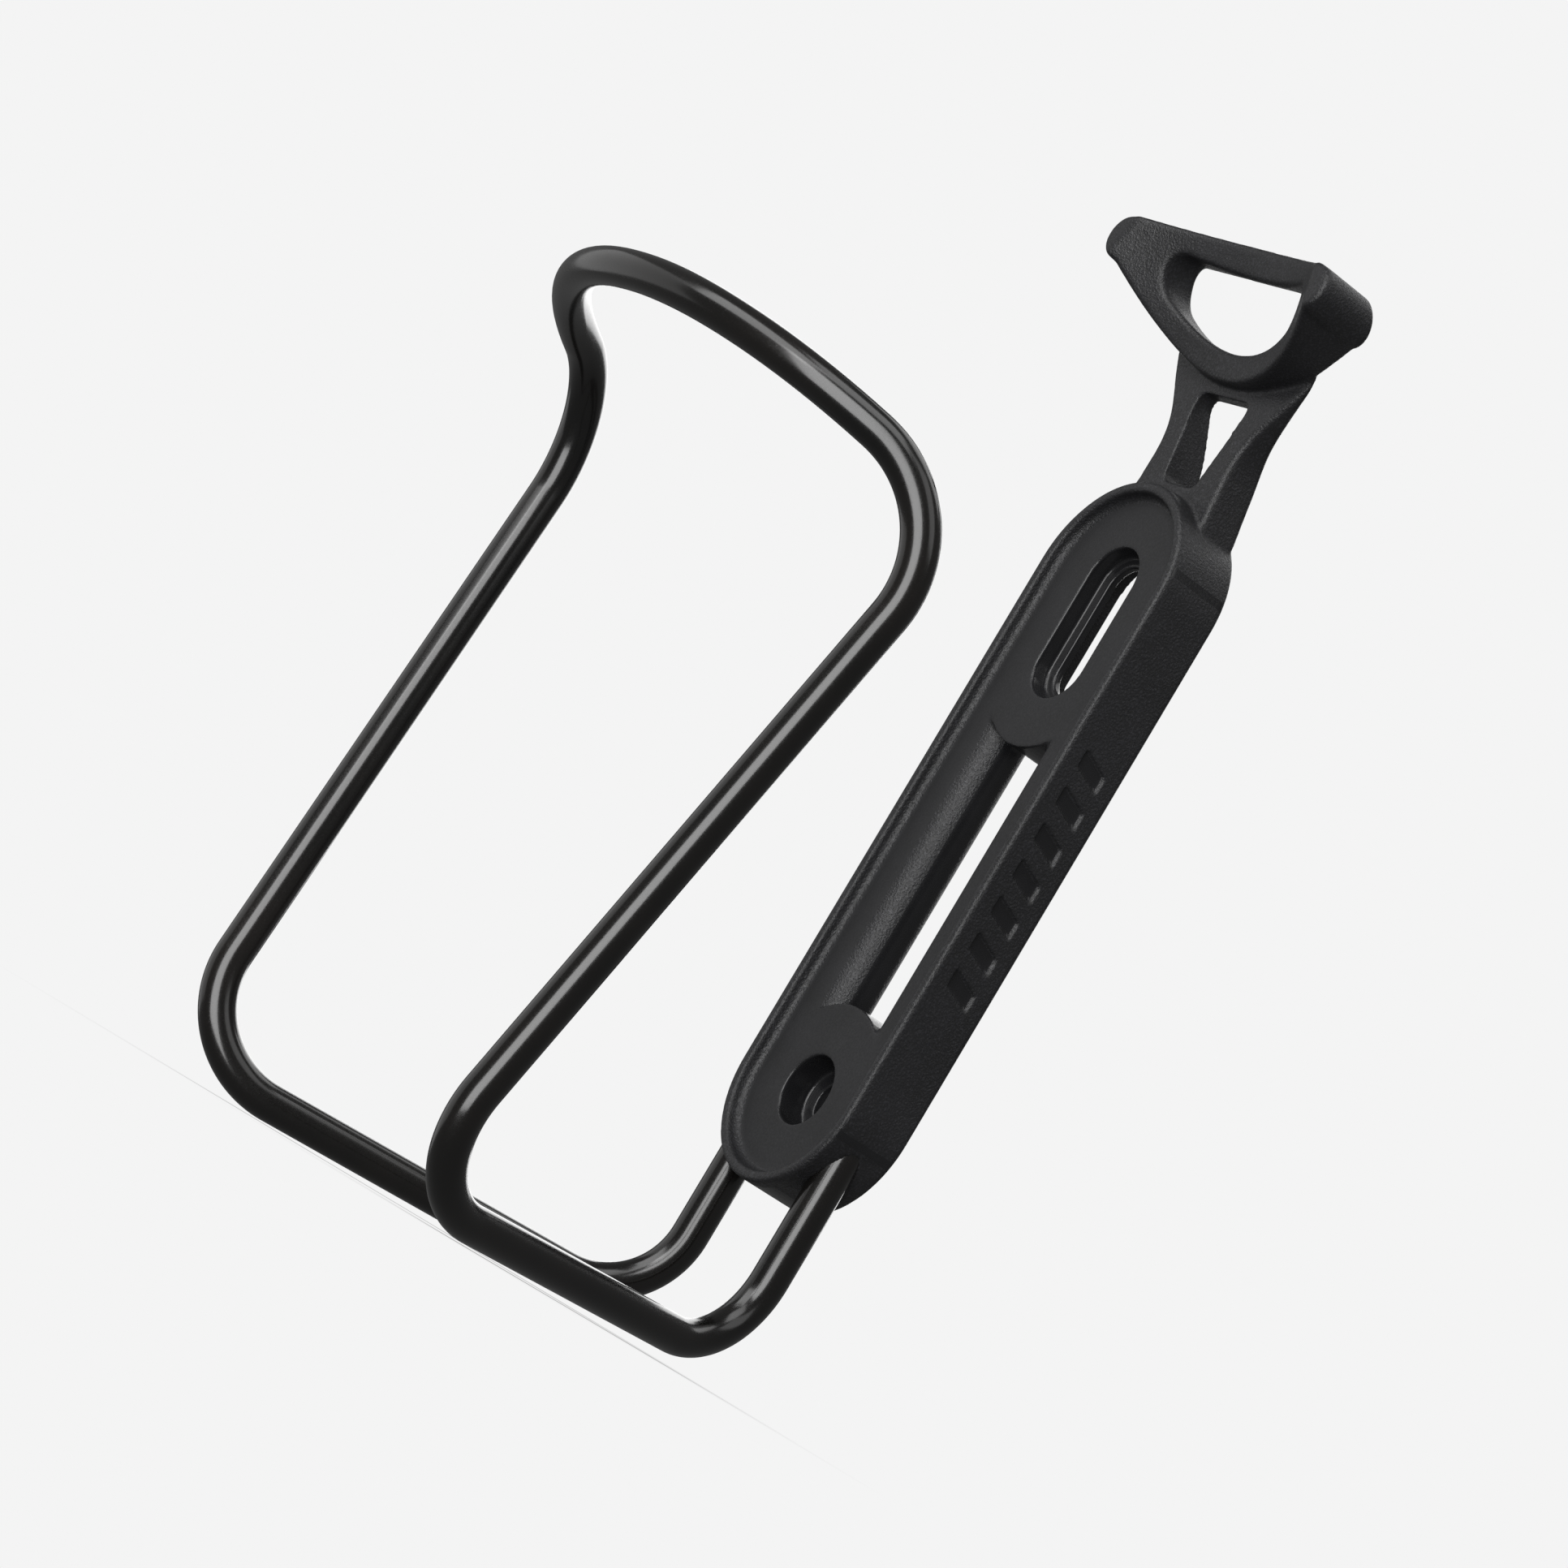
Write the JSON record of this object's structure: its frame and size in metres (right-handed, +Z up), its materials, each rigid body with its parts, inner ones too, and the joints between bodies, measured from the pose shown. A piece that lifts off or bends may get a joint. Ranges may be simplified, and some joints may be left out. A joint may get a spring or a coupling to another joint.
{
  "type": "bicycle bottle cage",
  "caption": "Bicycle bottle cage: a bent painted wire loop held in a moulded backbone with bolt places and a hooked head that grips the bottle's groove.",
  "frame": {"origin": "centre of the lower bolt hole, on the face that sits against the bicycle tube", "axes": "+Z up along the bottle, -Y towards the bottle, +X to the side"},
  "size_m": [0.0932, 0.0939, 0.1629],
  "materials": {
    "painted_rod": "gloss black paint",
    "moulded_backbone": "fine-grained matte black moulding"
  },
  "bodies": {
    "root": {"cage_rod": "painted_rod", "backbone": "moulded_backbone"}
  },
  "joints": []
}
